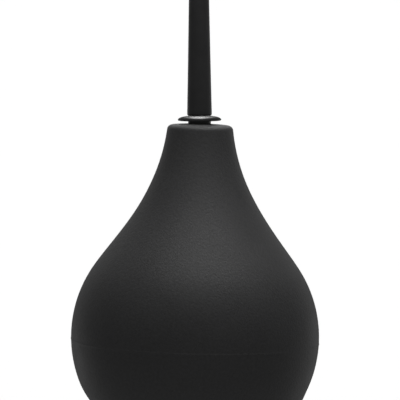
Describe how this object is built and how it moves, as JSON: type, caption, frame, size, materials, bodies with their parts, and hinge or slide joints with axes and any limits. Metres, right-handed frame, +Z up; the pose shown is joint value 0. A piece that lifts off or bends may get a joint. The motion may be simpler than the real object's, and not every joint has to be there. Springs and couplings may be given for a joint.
{
  "type": "dust blower bulb",
  "caption": "Round rubber squeeze bulb on a flat base, with a check-valve intake underneath and a long tapered nozzle that screws into the neck.",
  "frame": {"origin": "centre of the flat base that the bulb stands on", "axes": "+Z up along the bulb and the nozzle; +X and +Y lie in the plane of the base, and the part is round about Z"},
  "size_m": [0.06, 0.06, 0.15],
  "materials": {
    "bulb_rubber": "matte black moulded rubber with a soft satin sheen",
    "nozzle_plastic": "semi-gloss black moulded plastic",
    "insert_plastic": "satin black moulded plastic",
    "seal_rubber": "smooth black nitrile rubber",
    "filter_foam": "open-cell grey foam"
  },
  "bodies": {
    "base": {"bulb": "bulb_rubber", "intake_housing": "insert_plastic", "intake_cover": "insert_plastic", "filter_pad": "filter_foam", "disc_cage": "insert_plastic"},
    "disc": {"intake_disc": "seal_rubber"},
    "neck": {"neck_bush": "insert_plastic"},
    "seal": {"stem_seal": "seal_rubber"},
    "nozzle": {"nozzle_base": "nozzle_plastic", "nozzle": "nozzle_plastic"}
  },
  "joints": [
    {"name": "bulb_squeeze", "type": "slide", "parent": "base", "child": "neck", "axis": [0, 0, -1], "range_m": [0, 0.022], "stiffness_N_per_m": 1000, "deforming": ["bulb"]},
    {"name": "disc_lift", "type": "slide", "parent": "base", "child": "disc", "axis": [0, 0, 1], "range_m": [0, 0.0012]},
    {"name": "nozzle_rise", "type": "slide", "parent": "neck", "child": "seal", "axis": [0, 0, 1], "range_m": [0, 0.0055]},
    {"name": "nozzle_unscrew", "type": "hinge", "parent": "seal", "child": "nozzle", "pos_m": [0, 0, 0.0798], "axis": [0, 0, 1], "range_deg": [0, 1980.5]}
  ],
  "couplings": [
    {"joint": "nozzle_unscrew", "follows": "nozzle_rise", "rad_per_m": 6283.2}
  ]
}
